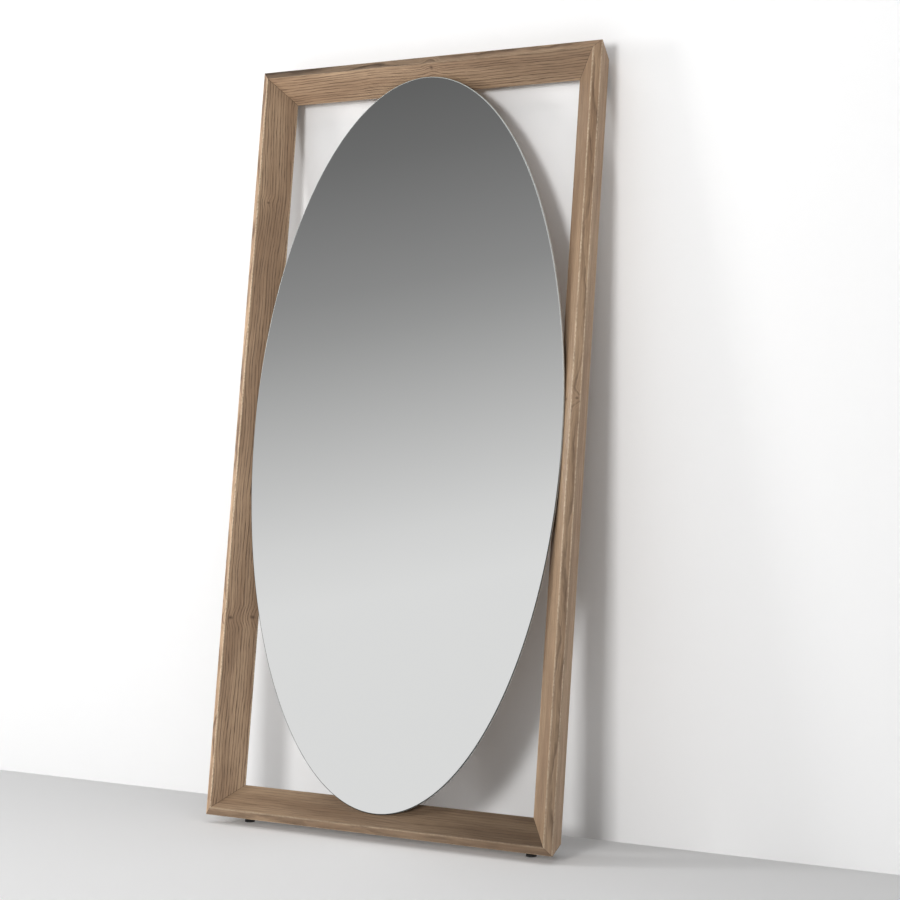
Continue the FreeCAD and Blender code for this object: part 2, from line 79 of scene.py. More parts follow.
# Section of a frame member as (u, v, radius of the rounded arris): outer front edge, ridge,
# inner edge, inner back edge, outer back edge.
SECTION = [
    (0.0, 0.012, 0.0012),
    (0.0195, 0.0, 0.0016),
    (0.0815, 0.064, 0.0016),
    (0.054, 0.103, 0.0012),
    (0.023, 0.103, 0.0012),
]
ARRIS_STEPS = 6

# Recesses for the corner plates in the back of the frame; the tools overshoot its face.
PLATE_LEG_WIDTH = 0.024
RECESS_GAP = 0.0002
RECESS_OVERSHOOT = 0.01

# Stepped bores for the feet: wide mouth, seat of the threaded insert, room for the stud.
MOUTH_RADIUS = 0.010
INSERT_RADIUS = 0.006
STUD_RADIUS = 0.0045
STUD_ROOM = 0.009
MOUTH_OVERSHOOT = 0.03

# Mirror plate.
FRONT_ARRIS = 0.0022
BACK_ARRIS = 0.0005
GLASS_STEPS = 4
GLASS_SEGMENTS = 384


# ---------------------------------------------------------------- axes

lean = Matrix.Rotation(-LEAN, 4, "X")


def span(node, back):
    """Lowest and highest corner of a CAD node after the matrix back."""
    points = [back @ v.co for v in nodes[node].data.vertices]
    return [Vector(pick(p[i] for p in points) for i in range(3)) for pick in (min, max)]


low, high = span("rail_bottom", lean.inverted())
to_world = lean @ Matrix.Translation((0, low.y, low.z))
to_frame = to_world.inverted()
half_width = (high.x - low.x) / 2
tall = span("stile_left", to_frame)[1].z


def turned(x, z, degrees):
    return Matrix.Translation((x, 0, z)) @ Matrix.Rotation(math.radians(degrees), 4, "Y")


# Each member's own axes and its length over the mitres.
SIDES = {
    "left": (turned(-half_width, tall / 2, 0), tall),
    "right": (turned(half_width, tall / 2, 180), tall),
    "top": (turned(0, tall, 90), 2 * half_width),
    "bottom": (turned(0, 0, -90), 2 * half_width),
}


# ---------------------------------------------------------------- node graphs


class Graph:
    """Procedural nodes in one tree; sockets and plain numbers mix freely."""

    def __init__(self, tree):
        self.tree = tree
        self.tree.nodes.clear()

    def put(self, kind, inputs, out=0, **properties):
        """A new node with its properties and inputs set; gives back one of its outputs."""
        node = self.tree.nodes.new("ShaderNode" + kind)
        for key, choice in properties.items():
            setattr(node, key, choice)
        for key, source in inputs.items():
            if isinstance(source, bpy.types.NodeSocket):
                self.tree.links.new(source, node.inputs[key])
            else:
                node.inputs[key].default_value = source
        return node.outputs[out]

    def show(self, kind, surface):
        """Make an output node, link the surface to it and give back its socket."""
        socket = self.tree.nodes.new("ShaderNode" + kind).inputs["Surface"]
        self.tree.links.new(surface, socket)
        return socket

    def math(self, operation, *values):
        return self.put("Math", dict(enumerate(values)), operation=operation)

    def add(self, a, b):
        return self.math("ADD", a, b)

    def less(self, a, b):
        return self.math("SUBTRACT", a, b)

    def times(self, a, b):
        return self.math("MULTIPLY", a, b)

    def greatest(self, values):
        return reduce(lambda a, b: self.math("MAXIMUM", a, b), values)

    def step(self, value, start, end, low=0.0, high=1.0):
        """Smooth step of value from low at start to high at end."""
        return self.put(
            "MapRange",
            {"Value": value, "From Min": start, "From Max": end, "To Min": low, "To Max": high},
            interpolation_type="SMOOTHSTEP",
        )

    def vector(self, x, y, z):
        return self.put("CombineXYZ", {"X": x, "Y": y, "Z": z})

    def distance(self, x, y, z):
        """Length of the vector (x, y, z)."""
        return self.put("VectorMath", {0: self.vector(x, y, z)}, "Value", operation="LENGTH")


class Shader(Graph):
    """A material with one Principled surface."""

    def __init__(self, name, **constant):
        self.material = bpy.data.materials.new(name)
        self.material.use_nodes = True
        super().__init__(self.material.node_tree)
        self.surface = self.tree.nodes.new("ShaderNodeBsdfPrincipled")
        self.shown = self.show("OutputMaterial", self.surface.outputs[0])
        for key, number in constant.items():
            self.surface.inputs[key.replace("_", " ")].default_value = number

    def spot(self):
        return self.put("TexCoord", {}, "Object")

    def along(self, direction, shift=0.0):
        """Coordinate along a fixed direction, less shift."""
        inputs = {0: self.spot(), 1: tuple(direction)}
        return self.less(self.put("VectorMath", inputs, "Value", operation="DOT_PRODUCT"), shift)

    def scaled(self, x, y, z):
        """The object coordinates scaled by three factors."""
        return self.put("VectorMath", {0: self.spot(), 1: (x, y, z)}, operation="MULTIPLY")

    def noise(self, where, scale=1.0, detail=2.0, roughness=0.5):
        inputs = {"Vector": where, "Scale": scale, "Detail": detail, "Roughness": roughness}
        return self.put("TexNoise", inputs, "Fac")

    def mix(self, factor, first, second, blend="MIX"):
        """Mix of two colours; 0, 6 and 7 are the Mix node's colour inputs and 2 its result."""
        inputs = {0: factor, 6: first, 7: second}
        return self.put("Mix", inputs, 2, data_type="RGBA", blend_type=blend)

    def tinted(self, colour, tint):
        return self.mix(1.0, colour, tint, "MULTIPLY")

    def feed(self, name, socket):
        self.tree.links.new(socket, self.surface.inputs[name])

    def bump(self, height, distance, strength):
        inputs = {"Height": height, "Distance": distance, "Strength": strength}
        self.feed("Normal", self.put("Bump", inputs, "Normal"))


def srgb(red, green, blue):
    """Linear colour of an 8-bit sRGB triple."""
    def linear(level):
        share = level / 255
        return share / 12.92 if share <= 0.04045 else ((share + 0.055) / 1.055) ** 2.4
    return (linear(red), linear(green), linear(blue), 1.0)


def grey(level):
    return (level, level, level, 1.0)


# ---------------------------------------------------------------- wood

WOOD_DARK = srgb(156, 127, 100)
WOOD_LIGHT = srgb(186, 157, 127)
OPEN_GRAIN = srgb(80, 59, 43)
KNOT_HEART = srgb(74, 52, 37)
JOINT_LINE = srgb(58, 43, 32)
# Light colour of the arrises: worn wood and a painted highlight along the ridges.
WORN_AND_HIGHLIT_EDGE = srgb(228, 206, 178)
FIBRE_SHADE = (0.74, 0.73, 0.72, 1)

RING_PITCH = 0.0078
RING_RIPPLE = 0.021
RING_JITTER = 0.0064
FINE_LINES = 3.0  # fine lines in each ring
FINE_STRENGTH = 0.34

# How far a knot pushes the rings out and reaches, and its heart's core and edge, all as
# multiples of its size. It is squashed along the board.
KNOT_PUSH = 0.9
KNOT_REACH = 6.0
KNOT_CORE = 0.5
KNOT_EDGE = 1.6
KNOT_SQUASH = 1.5
KNOT_STRENGTH = 0.8

# Blend where a face's painted light and shade meets the next face.
FACE_BLEND = (0.0006, 0.0018)
JOINT_BLEND = (0.0002, 0.0011)
JOINT_STRENGTH = 0.75


class Board(Shader):
    """Wood in its member's own axes u, v and w."""

    def __init__(self, name, placement, length, seed):
        super().__init__(name, IOR=1.45)
        matrix = to_world @ placement
        axes = matrix.to_3x3()
        origin = matrix.translation
        self.u, self.v, self.w = (self.along(axis, axis.dot(origin)) for axis in axes.col)
        self.half_length = length / 2
        self.seed = seed

    def streaks(self, lengthwise, crosswise, detail, roughness=0.5, shift=0.0):
        """Noise along the grain; the first two are its rates per metre."""
        place = self.vector(
            self.times(self.w, lengthwise),
            self.times(self.u, crosswise),
            self.add(self.times(self.v, crosswise), shift),
        )
        return self.noise(place, 1.0, detail, roughness)

    def wander(self, rate, offset):
        """Drift of the pith along the board, between -0.5 and 0.5."""
        place = self.vector(self.times(self.w, rate), self.seed + offset, offset)
        return self.less(self.noise(place), 0.5)

    def from_pith(self, pith, drift):
        """Distance from the drifting pith, uneven as growth rings are."""
        du = self.less(self.add(self.u, self.times(self.wander(1.3, 3.0), drift)), pith[0])
        dv = self.less(self.add(self.v, self.times(self.wander(1.1, 7.0), drift)), pith[1])
        radius = self.math("SQRT", self.add(self.times(du, du), self.times(dv, dv)))
        ripple = self.less(self.streaks(4.0, 9.0, 2.0, 0.4, self.seed), 0.5)
        radius = self.add(radius, self.times(ripple, RING_RIPPLE))
        jitter = self.less(self.streaks(17.0, 45.0, 3.0, 0.55, self.seed), 0.5)
        return self.add(radius, self.times(jitter, RING_JITTER))

    def knot(self, w, u, v, size):
        """How far a knot pushes the rings out, and how much of its dark heart shows."""
        distance = self.distance(
            self.times(self.less(self.w, w), KNOT_SQUASH),
            self.less(self.u, u),
            self.less(self.v, v),
        )
        bulge = self.step(distance, 0.0, KNOT_REACH * size, KNOT_PUSH * size, 0.0)
        ragged = self.noise(self.scaled(90, 90, 90), detail=3.0)
        edge = self.add(distance, self.times(ragged, size))
        heart = self.step(edge, KNOT_CORE * size, KNOT_EDGE * size, 1.0, 0.0)
        return bulge, heart

    def line(self, phase, risen, falls, fallen):
        """One soft line in each turn of phase: up to risen, down from falls to fallen."""
        within = self.math("FRACT", phase)
        return self.times(self.step(within, 0.0, risen), self.step(within, falls, fallen, 1.0, 0.0))

    def open_grain(self, radius):
        """Early wood brushed open: one broad line in a ring, fine lines between, all pored."""
        irregular = self.noise(self.vector(self.times(radius, 60.0), self.seed, 1.0))
        phase = self.add(self.math("DIVIDE", radius, RING_PITCH), self.times(irregular, 1.5))
        broad = self.line(phase, 0.16, 0.18, 0.56)
        fine = self.line(self.times(phase, FINE_LINES), 0.3, 0.4, 0.9)
        dashes = self.step(self.streaks(21.0, 150.0, 3.0), 0.34, 0.60, 0.48, 1.0)
        lines = self.greatest([
            self.times(broad, dashes),
            self.times(self.times(fine, dashes), FINE_STRENGTH),
        ])
        pores = self.step(self.streaks(26.0, 820.0, 2.0), 0.42, 0.62)
        return self.times(lines, self.step(pores, 0.0, 1.0, 0.66, 1.0))

    def stain(self, fibre):
        """Brown stain, clouded along the board and darker between the fibres."""
        cloud = self.streaks(2.6, 24.0, 3.0, shift=self.seed)
        tone = self.mix(self.step(cloud, 0.3, 0.72), WOOD_DARK, WOOD_LIGHT)
        return self.mix(self.step(fibre, 0.28, 0.75), self.tinted(tone, FIBRE_SHADE), tone)

    def painted_light_level(self, shade, bevel, flank):
        """Painted light and shade on the board's tone: along the board, and set apart on its outer
        bevel and outer side.
        """
        level, bevel_painted_light, flank_painted_light = (
            self.step(self.w, -self.half_length, self.half_length, *ends)
            for ends in (shade, bevel, flank)
        )
        (outer_u, outer_v, _), (ridge_u, ridge_v, _), *_, (back_u, back_v, _) = SECTION
        slant = (outer_v - ridge_v) / (ridge_u - outer_u)
        under_bevel = self.less(self.add(self.v, self.times(self.u, slant)), outer_v)
        taper = (back_u - outer_u) / (back_v - outer_v)
        under_side = self.less(self.u, self.times(self.less(self.v, outer_v), taper))
        for depth, painted_light_level in ((under_side, flank_painted_light), (under_bevel, bevel_painted_light)):
            on_face = self.step(depth, *FACE_BLEND, 1.0, 0.0)
            level = self.add(level, self.times(on_face, self.less(painted_light_level, level)))
        return self.vector(level, level, level)

    def joint(self):
        """The dark line at the mitres."""
        gap = self.less(self.less(self.half_length, self.math("ABSOLUTE", self.w)), self.u)
        return self.step(gap, *JOINT_BLEND, JOINT_STRENGTH, 0.0)

    def worn_and_highlit_edges(self, wear_and_highlight):
        """Arrises lightened: a painted highlight along the ridges, and worn light in patches and
        specks.
        """
        rubs_and_highlights = []
        for corner_u, corner_v, radius in SECTION:
            distance = self.distance(self.less(self.u, corner_u), self.less(self.v, corner_v), 0.0)
            rubs_and_highlights.append(self.step(distance, 0.5 * radius, 3.0 * radius, 1.0, 0.0))
        patch_place = self.vector(self.times(self.w, 14.0), self.seed, 0.0)
        patches = self.step(self.noise(patch_place, detail=3.0), 0.3, 0.7, 0.4, 0.95)
        speck_place = self.vector(self.times(self.w, 160.0), self.times(self.u, 300.0), self.seed)
        specks = self.step(self.noise(speck_place), 0.36, 0.58, 0.35 * wear_and_highlight, wear_and_highlight)
        return self.times(self.times(self.greatest(rubs_and_highlights), patches), specks)


def wood(name, placement, length, seed, pith, drift, knots, figure, shade, bevel, flank, wear_and_highlight):
    """Brushed, brown-stained ash with its growth rings round a pith beside the member.

    pith is (u, v) of the log's centre, drift how far it wanders, knots are (w, u, v, size).
    figure is the strength of the open grain. shade, bevel and flank are painted light and
    shade: factors on the tone at the two ends of the board, on its outer bevel and on its
    outer side. The last argument is how far its arrises are lightened: a painted highlight
    along the ridges and worn light in patches and specks.
    """
    board = Board(name, placement, length, seed)
    radius = board.from_pith(pith, drift)
    hearts = []
    for knot in knots:
        bulge, heart = board.knot(*knot)
        radius = board.add(radius, bulge)
        hearts.append(heart)
    grain = board.open_grain(radius)
    fibre = board.streaks(11.0, 330.0, 4.0, 0.62)
    # Painted light and shade on each face, multiplied into the stain.
    level = board.painted_light_level(shade, bevel, flank)

    tone = board.mix(board.times(grain, figure), board.stain(fibre), OPEN_GRAIN)
    if hearts:
        tone = board.mix(board.times(board.greatest(hearts), KNOT_STRENGTH), tone, KNOT_HEART)
    tone = board.mix(board.joint(), board.tinted(tone, level), JOINT_LINE)
    # Painted highlight and worn light on the arrises.
    tone = board.mix(board.worn_and_highlit_edges(wear_and_highlight), tone, board.tinted(WORN_AND_HIGHLIT_EDGE, level))
    roughness = board.add(board.times(grain, 0.16), board.step(fibre, 0.2, 0.8, 0.56, 0.47))
    relief = board.add(board.times(grain, -1.0), board.times(fibre, 0.45))

    board.feed("Base Color", tone)
    board.feed("Roughness", roughness)
    board.bump(relief, distance=0.0006, strength=0.85)
    return board.material


# ---------------------------------------------------------------- other materials


def lighter(colour, factor, lift):
    return tuple(min(1.0, factor * c + lift) for c in colour[:3]) + (1.0,)


def powder_coat(name, colour, roughness):
    """Fine orange-peel powder coating with faint handling marks."""
    shader = Shader(name, IOR=1.5)
    peel = shader.noise(shader.spot(), 900.0)
    marks = shader.noise(shader.scaled(1.0, 1.0, 0.3), 60.0, 4.0, 0.6)
    tone = shader.mix(shader.step(marks, 0.35, 0.75), colour, lighter(colour, 1.5, 0.004))
    shader.feed("Base Color", tone)
    shader.feed("Roughness", shader.step(marks, 0.3, 0.8, roughness, roughness + 0.12))
    shader.bump(peel, distance=0.00008, strength=0.5)
    return shader.material


def zinc(name):
    """Bright zinc-plated steel, slightly mottled and scuffed."""
    shader = Shader(name, Metallic=1.0)
    mottle = shader.noise(shader.spot(), 420.0, 4.0, 0.6)
    tone = shader.mix(shader.step(mottle, 0.3, 0.75), (0.46, 0.47, 0.48, 1), (0.66, 0.67, 0.67, 1))
    shader.feed("Base Color", tone)
    shader.feed("Roughness", shader.step(mottle, 0.25, 0.8, 0.24, 0.42))
    shader.bump(shader.noise(shader.spot(), 2600.0), distance=0.00004, strength=0.5)
    return shader.material


def plastic(name, colour, roughness, peel_scale):
    """Moulded plastic or rubber with a fine matt texture."""
    shader = Shader(name, IOR=1.5)
    haze = shader.noise(shader.spot(), 130.0, 3.0)
    tone = shader.mix(shader.step(haze, 0.35, 0.8), colour, lighter(colour, 1.7, 0.003))
    shader.feed("Base Color", tone)
    shader.feed("Roughness", shader.step(haze, 0.2, 0.8, roughness, roughness + 0.14))
    shader.bump(shader.noise(shader.spot(), peel_scale), distance=0.0001, strength=0.6)
    return shader.material


def hardboard(name):
    """Pressed, slightly flecked dark-brown fibre board."""
    shader = Shader(name, IOR=1.45)
    fleck = shader.noise(shader.spot(), 700.0, 3.0, 0.7)
    cloud = shader.noise(shader.spot(), 9.0, 3.0)
    tone = shader.mix(shader.step(cloud, 0.3, 0.7), srgb(118, 96, 75), srgb(134, 110, 87))
    tone = shader.mix(shader.step(fleck, 0.5, 0.75, 0.0, 0.45), tone, srgb(86, 67, 50))
    shader.feed("Base Color", tone)
    shader.feed("Roughness", shader.step(fleck, 0.2, 0.8, 0.62, 0.78))
    shader.bump(fleck, distance=0.00012, strength=0.7)
    return shader.material


def foam(name):
    """White foam tape with small open cells."""
    shader = Shader(name)
    cell = shader.put("TexVoronoi", {"Vector": shader.spot(), "Scale": 1600.0}, "Distance")
    tone = shader.mix(shader.step(cell, 0.1, 0.6), (0.5, 0.5, 0.5, 1), (0.78, 0.78, 0.77, 1))
    shader.feed("Base Color", tone)
    shader.feed("Roughness", shader.step(cell, 0.1, 0.7, 0.75, 0.92))
    shader.bump(cell, distance=0.0001, strength=0.8)
    return shader.material


def plywood(name):
    """Pale plywood of the loose tongues inside the mitres."""
    shader = Shader(name, Roughness=0.6)
    grain = shader.noise(shader.scaled(60, 400, 60), detail=3.0)
    shader.feed("Base Color", shader.mix(grain, srgb(168, 136, 104), srgb(198, 168, 132)))
    return shader.material


def silvering(name):
    """The mirror's face: clean silvered glass with the faintest haze."""
    shader = Shader(name, Metallic=1.0)
    haze = shader.noise(shader.spot(), 5.0, 3.0)
    shader.feed("Base Color", shader.mix(haze, (0.93, 0.94, 0.935, 1), (0.945, 0.95, 0.945, 1)))
    shader.feed("Roughness", shader.step(haze, 0.3, 0.7, 0.008, 0.016))
    return shader.material


def edge_with_painted_reflection(name, lower, upper):
    """Satin ground glass edge whose colour goes from lower to upper up the mirror: a painted
    reflection, darker low down and lighter higher up.
    """
    shader = Shader(name, IOR=1.52)
    marks = shader.noise(shader.spot(), 1500.0)
    cloud = shader.noise(shader.spot(), 30.0)
    height = shader.add(shader.along((0, 0, 1)), shader.times(cloud, 0.1))
    shader.feed("Base Color", shader.mix(shader.step(height, 0.85, 1.25), lower, upper))
    shader.feed("Roughness", shader.step(marks, 0.3, 0.7, 0.32, 0.5))
    return shader.material


def mirror_paint(name):
    """Grey protective paint on the back of the mirror."""
    shader = Shader(name, IOR=1.45)
    roller = shader.noise(shader.spot(), 260.0, 3.0)
    shader.feed("Base Color", shader.mix(roller, (0.16, 0.17, 0.18, 1), (0.21, 0.22, 0.23, 1)))
    shader.feed("Roughness", shader.step(roller, 0.3, 0.7, 0.42, 0.55))
    shader.bump(roller, distance=0.00008, strength=0.5)
    return shader.material


# ---------------------------------------------------------------- mesh helpers


def rounded(section, steps):
    """Outline points of a polygon with rounded corners, and the flags of the curved edges."""
    points = []
    curved = []
    for index, (u, v, radius) in enumerate(section):
        here = Vector((u, v))
        before = (Vector(section[index - 1][:2]) - here).normalized()
        after = (Vector(section[(index + 1) % len(section)][:2]) - here).normalized()
        half = before.angle(after) / 2
        centre = here + (before + after).normalized() * radius / math.sin(half)
        start = here + before * radius / math.tan(half) - centre
        end = here + after * radius / math.tan(half) - centre
        sweep = start.angle_signed(end)
        for step in range(steps + 1):
            points.append(centre + Matrix.Rotation(-sweep * step / steps, 2) @ start)
            curved.append(step < steps)
    return points, curved


def make_object(name, mesh, materials):
    piece = bpy.data.objects.new(name, mesh)
    bpy.context.scene.collection.objects.link(piece)
    for material in materials:
        mesh.materials.append(material)
    return piece


def walls(mesh, first, second):
    """Faces between two rings of vertices."""
    made = []
    for index in range(len(first)):
        after = (index + 1) % len(first)
        made.append(mesh.faces.new((first[index], first[after], second[after], second[index])))
    return made


def finished(mesh, name):
    """The bmesh as mesh data, with its faces turned outward."""
    bmesh.ops.recalc_face_normals(mesh, faces=mesh.faces)
    data = bpy.data.meshes.new(name)
    mesh.to_mesh(data)
    mesh.free()
    return data


def member_mesh(name, placement, length):
    """A mitred frame member with softened arrises."""
    outline, curved = rounded(SECTION, ARRIS_STEPS)
    matrix = to_world @ placement
    mesh = bmesh.new()
    rings = []
    for end in (-1, 1):
        corners = (Vector((p.x, p.y, end * (length / 2 - p.x))) for p in outline)
        rings.append([mesh.verts.new(matrix @ corner) for corner in corners])
    for face, smooth in zip(walls(mesh, *rings), curved):
        face.smooth = smooth
    for ring in rings:
        mesh.faces.new(ring)
    return finished(mesh, name)


# ---------------------------------------------------------------- cutting tools


def solid_tool(rings):
    """Closed solid through rings of points, for cutting."""
    mesh = bmesh.new()
    made = [[mesh.verts.new(point) for point in ring] for ring in rings]
    for lower, upper in zip(made, made[1:]):
        walls(mesh, lower, upper)
    mesh.faces.new(made[0])
    mesh.faces.new(made[-1])
    return bpy.data.objects.new("tool", finished(mesh, "tool"))


def turned_tool(outline, matrix, segments=64):
    """Solid of revolution about local z from (radius, height) pairs."""
    turns = [2 * math.pi * i / segments for i in range(segments)]
    return solid_tool([
        [matrix @ Vector((radius * math.cos(a), radius * math.sin(a), level)) for a in turns]
        for radius, level in outline
    ])


def plate_recess(corner):
    """Tool for the L-shaped recess of a corner plate, a hair larger all round."""
    plate_low, plate_high = span("corner_plate_" + corner, to_frame)
    reach_x = plate_high.x - plate_low.x + 2 * RECESS_GAP
    reach_z = plate_high.z - plate_low.z + 2 * RECESS_GAP
    leg = PLATE_LEG_WIDTH + 2 * RECESS_GAP
    outline = [(0, 0), (reach_x, 0), (reach_x, leg), (leg, leg), (leg, reach_z), (0, reach_z)]
    if "right" in corner:
        outline = [(plate_high.x + RECESS_GAP - x, z) for x, z in outline]
    else:
        outline = [(plate_low.x - RECESS_GAP + x, z) for x, z in outline]
    if "top" in corner:
        outline = [(x, plate_high.z + RECESS_GAP - z) for x, z in outline]
    else:
        outline = [(x, plate_low.z - RECESS_GAP + z) for x, z in outline]
    depths = (plate_low.y - RECESS_GAP, plate_high.y + RECESS_OVERSHOOT)
    return solid_tool([[to_world @ Vector((x, depth, z)) for x, z in outline] for depth in depths])


def foot_bore(side):
    """Tool for the stepped bore of a levelling foot."""
    insert_low, insert_high = span("foot_insert_" + side, to_frame)
    middle = (insert_low + insert_high) / 2
    outline = [
        (MOUTH_RADIUS, insert_low.z - MOUTH_OVERSHOOT),
        (MOUTH_RADIUS, insert_low.z),
        (INSERT_RADIUS, insert_low.z),
        (INSERT_RADIUS, insert_high.z),
        (STUD_RADIUS, insert_high.z),
        (STUD_RADIUS, insert_high.z + STUD_ROOM),
    ]
    return turned_tool(outline, to_world @ Matrix.Translation((middle.x, middle.y, 0)))


def carve(piece, tools):
    """Cut the tools out of a piece and keep the result as its mesh."""
    for tool in tools:
        bpy.context.scene.collection.objects.link(tool)
        modifier = piece.modifiers.new("cut", "BOOLEAN")
        modifier.object = tool
        modifier.operation = "DIFFERENCE"
        modifier.solver = "EXACT"
    bpy.context.view_layer.update()
    graph = bpy.context.evaluated_depsgraph_get()
    result = bpy.data.meshes.new_from_object(piece.evaluated_get(graph))
    piece.modifiers.clear()
    piece.data = result
    for tool in tools:
        bpy.data.objects.remove(tool)


# ---------------------------------------------------------------- frame members

# shade, bevel and flank below are painted light and shade, set to how the lamps fall on each face: the
# bottom rail darker towards its right end where the mirror shades it, the left stile's outer bevel and
# the right stile's outer side painted light. The arris strength is a painted highlight as well as worn
# light.
LOOKS = {
    "left": dict(
        seed=2.0, pith=(-0.185, -0.215), drift=0.085, figure=1.0, wear_and_highlight=0.75,
        shade=(1.0, 0.90), bevel=(1.5, 1.4), flank=(1.0, 1.0),
        knots=[(-0.47, 0.070, 0.052, 0.010), (-0.475, 0.030, 0.011, 0.009),
               (0.63, 0.04, 0.02, 0.006)],
    ),
    "right": dict(
        seed=11.0, pith=(-0.210, -0.190), drift=0.060, figure=0.70, wear_and_highlight=0.85,
        shade=(0.94, 1.0), bevel=(0.92, 0.70), flank=(1.5, 1.35),
        knots=[(-0.10, 0.045, 0.027, 0.008), (-0.10, 0.008, 0.008, 0.007)],
    ),
    "top": dict(
        seed=23.0, pith=(-0.200, -0.200), drift=0.075, figure=1.0, wear_and_highlight=0.18,
        shade=(1.22, 0.82), bevel=(0.45, 0.84), flank=(0.9, 0.9),
        knots=[(0.02, 0.030, 0.010, 0.009)],
    ),
    "bottom": dict(
        seed=37.0, pith=(-0.160, -0.240), drift=0.060, figure=0.50, wear_and_highlight=0.5,
        shade=(0.34, 0.80), bevel=(0.58, 0.82), flank=(0.8, 0.8),
        knots=[],
    ),
}
PLATES = ("bottom_left", "bottom_right", "top_left", "top_right")
MEMBERS = {"left": "stile_left", "right": "stile_right", "top": "rail_top", "bottom": "rail_bottom"}

for edge, node in MEMBERS.items():
    placement, length = SIDES[edge]
    material = wood(node + "_wood", placement, length, **LOOKS[edge])
    piece = make_object("wood_" + node, member_mesh(node, placement, length), [material])
    tools = [plate_recess(corner) for corner in PLATES if edge in corner]
    if edge == "bottom":
        tools += [foot_bore(side) for side in ("left", "right")]
    carve(piece, tools)
    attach(piece, BODY)
    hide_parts(node)


# ---------------------------------------------------------------- mirror

# The mirror's edge colours hold a painted reflection: the front arris is painted dark low down and
# light higher up, and the ground side is light, a little lighter higher up.
MIRROR_MATERIALS = [
    silvering("mirror_face"),
    edge_with_painted_reflection("mirror_edge_painted_reflection", (0.70, 0.74, 0.73, 1), (0.80, 0.83, 0.82, 1)),
    mirror_paint("mirror_back"),
    edge_with_painted_reflection("mirror_arris_painted_reflection", (0.035, 0.040, 0.040, 1), (0.46, 0.49, 0.48, 1)),
]
ON_FACE, ON_EDGE, ON_BACK, ON_ARRIS = range(len(MIRROR_MATERIALS))


def mirror_mesh():
    """Elliptical plate with rounded arrises."""
    glass_low, glass_high = span("mirror_glass", to_frame)
    middle = (glass_low + glass_high) / 2
    half = (glass_high - glass_low) / 2
    turns = [math.radians(90 * i / GLASS_STEPS) for i in range(GLASS_STEPS + 1)]
    rim = [(FRONT_ARRIS * (1 - math.sin(t)), -half.y + FRONT_ARRIS * (1 - math.cos(t))) for t in turns]
    turns.reverse()
    rim += [(BACK_ARRIS * (1 - math.sin(t)), half.y - BACK_ARRIS * (1 - math.cos(t))) for t in turns]
    mesh = bmesh.new()

    def ring(inset, level, share=1.0):
        made = []
        for index in range(GLASS_SEGMENTS):
            a = 2 * math.pi * index / GLASS_SEGMENTS
            x = (half.x - inset) * share * math.cos(a)
            z = (half.z - inset) * share * math.sin(a)
            made.append(mesh.verts.new(to_world @ (middle + Vector((x, level, z)))))
        return made

    def cap(inset, level, outer, material):
        made = []
        for share in (0.7, 0.35):
            inner = ring(inset, level, share)
            made += walls(mesh, outer, inner)
            outer = inner
        centre = mesh.verts.new(to_world @ (middle + Vector((0, level, 0))))
        for first, second in zip(outer, outer[1:] + outer[:1]):
            made.append(mesh.faces.new((first, second, centre)))
        for face in made:
            face.material_index = material

    rings = [ring(inset, level) for inset, level in rim]
    for index, (first, second) in enumerate(zip(rings, rings[1:])):
        for face in walls(mesh, first, second):
            face.material_index = ON_ARRIS if index < GLASS_STEPS else ON_EDGE
            face.smooth = index != GLASS_STEPS
    cap(FRONT_ARRIS, -half.y, rings[0], ON_FACE)
    cap(BACK_ARRIS, half.y, rings[-1], ON_BACK)
    return finished(mesh, "mirror_plate")


mirror = make_object("mirror_plate", mirror_mesh(), MIRROR_MATERIALS)
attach(mirror, BODY)
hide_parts("mirror_glass")


# ---------------------------------------------------------------- carried-over CAD nodes

# Each material with the beginnings of the names of the nodes that it covers.
FINISHES = [
    (plywood("spline_wood"), ["mitre_spline"]),
    (zinc("screw_zinc"), ["corner_plate_screws", "bracket_board_screws", "bracket_frame_screws",
                          "wall_bumper_screws"]),
    (powder_coat("bracket_black", (0.018, 0.018, 0.019, 1), 0.42), ["corner_plate", "mirror_bracket"]),
    (foam("foam_white"), ["foam_tape"]),
    (hardboard("hardboard"), ["backing_board"]),
    (plastic("bumper_rubber", (0.02, 0.02, 0.021, 1), 0.6, 1400.0), ["wall_bumper"]),
    (zinc("foot_zinc"), ["foot_insert", "foot_nut", "foot_stud", "foot_ball"]),
    (plastic("foot_plastic", (0.014, 0.014, 0.015, 1), 0.38, 2200.0), ["foot_base"]),
    (plastic("tread_rubber", (0.022, 0.022, 0.023, 1), 0.68, 900.0), ["foot_tread"]),
]
finishes = {prefix: material for material, prefixes in FINISHES for prefix in prefixes}
shown_by_pieces = [*MEMBERS.values(), "mirror_glass"]

for node, thing in nodes.items():
    if node in shown_by_pieces:
        continue
    prefix = max((p for p in finishes if node.startswith(p)), key=len)
    if not thing.material_slots:
        thing.data.materials.append(finishes[prefix])
    for holder in thing.material_slots:
        holder.material = finishes[prefix]


# ---------------------------------------------------------------- stage

FLOOR_HALF = 9.0
WALL_HALF = 6.0
WALL_TALL = 5.0
WALL_GAP = 0.0005
PAINT = grey(0.86)


def stage_plane(name, corners, material):
    data = bpy.data.meshes.new(name)
    data.from_pydata(corners, [], [tuple(range(len(corners)))])
    plane = make_object(name, data, [material])
    return plane


floor_paint = Shader("floor_paint", Base_Color=PAINT, Roughness=0.75, Emission_Color=grey(1.0),
                     Emission_Strength=0.06)
floor = stage_plane(
    "studio_floor",
    [(x * FLOOR_HALF, y * FLOOR_HALF, 0) for x, y in ((-1, -1), (1, -1), (1, 1), (-1, 1))],
    floor_paint.material,
)

